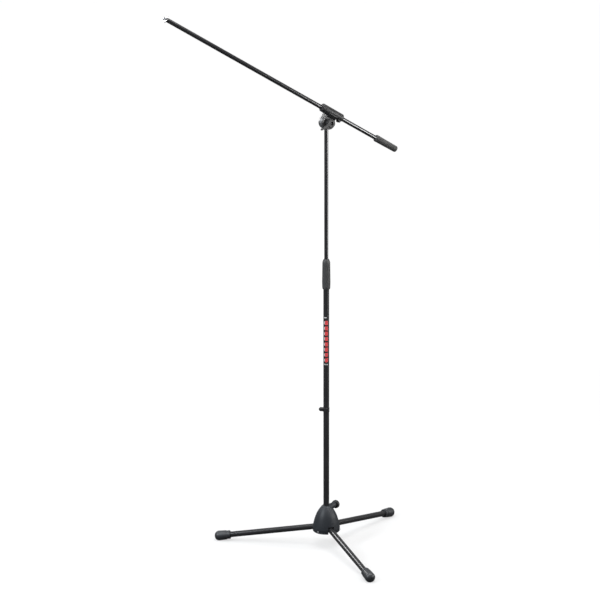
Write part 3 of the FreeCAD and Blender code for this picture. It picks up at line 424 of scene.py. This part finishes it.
# millimetres and degrees
PRINT_FOOT = 623
PRINT_STEP = 17.6
PRINT_BARS = 8
RED_HEADING, RED_HALF_ANGLE, RED_H, RED_CORNER = -113, 31, 13.4, 2.2
PALE_HEADING, PALE_HALF_ANGLE, PALE_INSET, PALE_CORNER = -158, 11, 2, 1.2
FEET = [PRINT_FOOT + PRINT_STEP * number for number in range(PRINT_BARS)]
red_bars = [(RED_HEADING, RED_HALF_ANGLE, foot, foot + RED_H, RED_CORNER) for foot in FEET]
pale_bars = [
    (PALE_HEADING, PALE_HALF_ANGLE, foot + PALE_INSET, foot + RED_H - PALE_INSET, PALE_CORNER)
    for foot in FEET
]
# a wide bar below the others and a shorter one above them
pale_bars.append((-126, 44, PRINT_FOOT - 9, PRINT_FOOT - 6, 1.4))
pale_bars.append((-138, 26, FEET[-1] + 22, FEET[-1] + 26, 1.9))
printed("print_red", red_bars, red_ink)
printed("print_pale", pale_bars, pale_ink)

# ---------------------------------------------------------------- studio
CAMERA_HEADING = math.radians(28)
CAMERA_DISTANCE = 5.629
CAMERA_HEIGHT = 2.064
CAMERA_PITCH = math.radians(12.40)
CAMERA_SHIFT = -0.0438
CAMERA_LENS = 108
CAMERA_SENSOR = 36
SEEN_FAR = 200

ahead = Vector((math.sin(CAMERA_HEADING), math.cos(CAMERA_HEADING), 0))
rightward = Vector((ahead.y, -ahead.x, 0))
column = Vector((tube_x, tube_y, 0))

camera_data = bpy.data.cameras.new("camera")
camera_data.lens = CAMERA_LENS
camera_data.sensor_width = CAMERA_SENSOR
camera_data.shift_x = CAMERA_SHIFT
camera_data.clip_end = SEEN_FAR
camera = bpy.data.objects.new("camera", camera_data)
camera.location = column - ahead * CAMERA_DISTANCE + Vector((0, 0, CAMERA_HEIGHT))
camera.rotation_euler = (math.pi / 2 - CAMERA_PITCH, 0, -CAMERA_HEADING)
bpy.context.scene.collection.objects.link(camera)
bpy.context.scene.camera = camera


def softbox(name, right, forward, height, aim_height, width, tall, power, tint=(1, 1, 1), diffuse=True):
    """An area light placed from the camera's point of view and turned to the column."""
    data = bpy.data.lights.new(name, "AREA")
    data.shape = "RECTANGLE"
    data.size, data.size_y = width, tall
    data.energy = power
    data.color = tint
    light = bpy.data.objects.new(name, data)
    light.location = column + rightward * right + ahead * forward + Vector((0, 0, height))
    aim = column + Vector((0, 0, aim_height)) - light.location
    light.rotation_euler = aim.to_track_quat("-Z", "Y").to_euler()
    light.visible_camera = False
    light.visible_diffuse = diffuse
    bpy.context.scene.collection.objects.link(light)


# each light: right of the column, beyond it, height, height of its aim, width, tall, watts
softbox("key_right", 2.15, -0.2, 0.98, 0.98, 1.6, 1.0, 42)
softbox("fill_left", -2.2, -1.4, 2.0, 0.3, 0.9, 1.2, 92, (0.88, 0.94, 1.0))
softbox("overhead", 0.2, -0.3, 3.2, 0.0, 2.2, 2.2, 115)
softbox("rear_glint", 0.82, -0.36, 1.41, 1.38, 0.32, 0.32, 11, diffuse=False)
softbox("back_left", -2.1, 1.95, 2.1, 0.1, 0.7, 0.9, 40)

# how bright the room is from straight down, 0, to straight up, 1
ROOM = ((0.40, 0.34), (0.50, 0.46), (0.62, 0.70))
ROOM_BELOW = (0.30, 0.30, 0.31, 1)
ROOM_ABOVE = (1.0, 1.0, 1.0, 1)
ROOM_STRENGTH = 0.55

world = bpy.data.worlds.new("studio")
world.use_nodes = True
sky, sky_links = world.node_tree.nodes, world.node_tree.links
direction = sky.new("ShaderNodeTexCoord").outputs["Generated"]
split = sky.new("ShaderNodeSeparateXYZ")
sky_links.new(direction, split.inputs[0])
ramp = sky.new("ShaderNodeValToRGB")
ramp.color_ramp.elements[0].position = 0.0
ramp.color_ramp.elements[0].color = ROOM_BELOW
ramp.color_ramp.elements[1].position = 1.0
ramp.color_ramp.elements[1].color = ROOM_ABOVE
for position, level in ROOM:
    stop = ramp.color_ramp.elements.new(position)
    stop.color = (level, level, level, 1)
height = sky.new("ShaderNodeMapRange")
height.inputs["From Min"].default_value = -1
sky_links.new(split.outputs["Z"], height.inputs["Value"])
sky_links.new(height.outputs["Result"], ramp.inputs["Fac"])
lit = sky["Background"]
sky_links.new(ramp.outputs["Color"], lit.inputs["Color"])
lit.inputs["Strength"].default_value = ROOM_STRENGTH
# the camera sees plain white behind the floor's far edge
seen = sky.new("ShaderNodeBackground")
seen.inputs["Color"].default_value = (1.0, 1.0, 1.0, 1)
choice = sky.new("ShaderNodeMixShader")
seen_by_camera = sky.new("ShaderNodeLightPath").outputs["Is Camera Ray"]
sky_links.new(seen_by_camera, choice.inputs[0])
sky_links.new(lit.outputs[0], choice.inputs[1])
sky_links.new(seen.outputs[0], choice.inputs[2])
sky_links.new(choice.outputs[0], sky["World Output"].inputs["Surface"])
bpy.context.scene.world = world

FLOOR_REACH = 80.0
FLOOR_GAP = 0.2 * MM
GLOW_NEAR, GLOW_FAR = 0.5, 3.6
GLOW_AT_COLUMN, GLOW_AWAY = 0.58, 0.90

floor_mesh = bpy.data.meshes.new("floor")
signs = ((-1, -1), (1, -1), (1, 1), (-1, 1))
corners = [(x_sign * FLOOR_REACH, y_sign * FLOOR_REACH, 0) for x_sign, y_sign in signs]
floor_mesh.from_pydata(corners, [], [(0, 1, 2, 3)])
floor = bpy.data.objects.new("floor", floor_mesh)
floor.location.z = -FLOOR_GAP
bpy.context.scene.collection.objects.link(floor)
backdrop = Finish("pale_floor", specular=0.1)
backdrop.colour(backdrop.mixed(backdrop.noise(1.5, 3), (0.19, 0.19, 0.19), (0.205, 0.205, 0.205)))
backdrop.roughness(backdrop.spread(backdrop.noise(0.5, 3), 0.3, 0.7, 0.75, 0.9))
away = backdrop.nodes.new("ShaderNodeVectorMath")
away.operation = "DISTANCE"
away.inputs[1].default_value = column
backdrop.links.new(backdrop.place, away.inputs[0])
glow = backdrop.spread(away.outputs["Value"], GLOW_NEAR, GLOW_FAR, GLOW_AT_COLUMN, GLOW_AWAY)
backdrop.links.new(glow, backdrop.shader.inputs["Emission Strength"])
backdrop.shader.inputs["Emission Color"].default_value = (1, 1, 1, 1)
floor_mesh.materials.append(backdrop.material)
floor.visible_glossy = False
floor.visible_diffuse = False

bpy.context.scene.view_settings.view_transform = "Standard"
